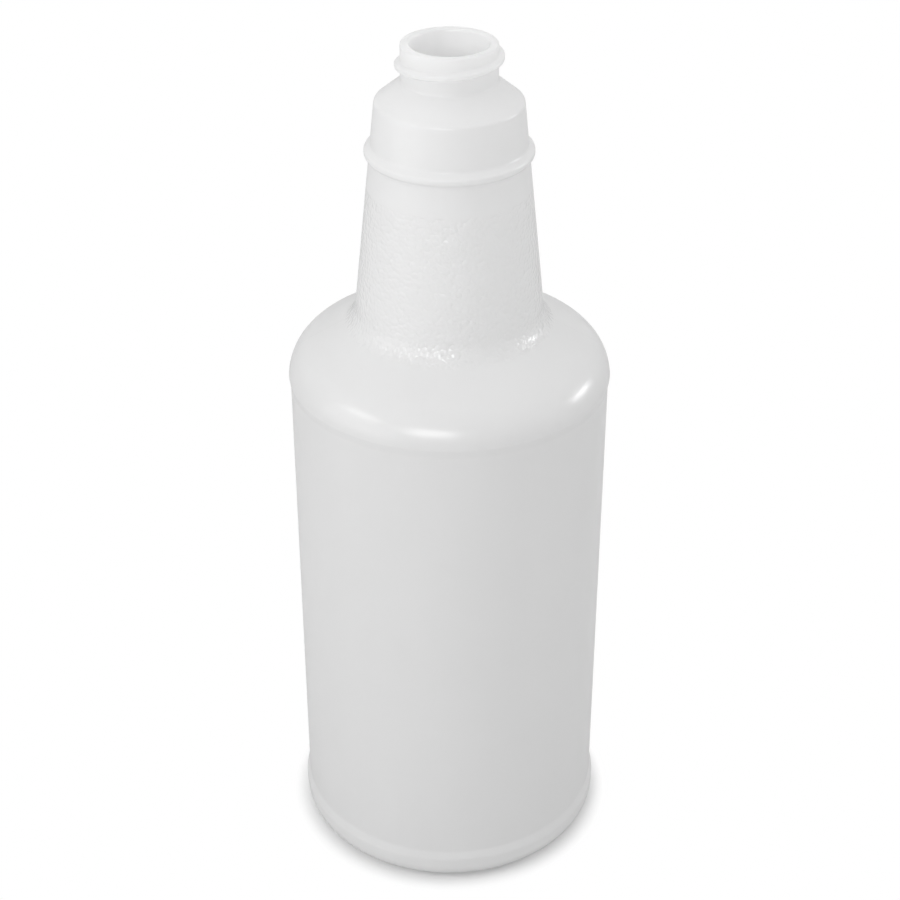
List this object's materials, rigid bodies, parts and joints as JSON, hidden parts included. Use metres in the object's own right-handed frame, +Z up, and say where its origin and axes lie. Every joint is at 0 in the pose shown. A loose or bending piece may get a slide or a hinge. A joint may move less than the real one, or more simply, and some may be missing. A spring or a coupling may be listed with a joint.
{
  "type": "graduated plastic bottle",
  "caption": "Milky blow-moulded plastic bottle with a plain label panel, tapered textured grip, beaded collar and open threaded neck for a trigger sprayer or screw cap.",
  "frame": {"origin": "on the floor, under the bottle's axis, in the plane of the standing ring", "axes": "+Z up along the bottle's axis to the mouth, -Y towards the viewer, +Y to the back with the moulded scale"},
  "size_m": [0.0882, 0.0882, 0.24],
  "materials": {
    "milky_plastic": "satin, with a fine leather grain on the grip"
  },
  "bodies": {
    "root": {"bottle": "milky_plastic"}
  },
  "joints": []
}
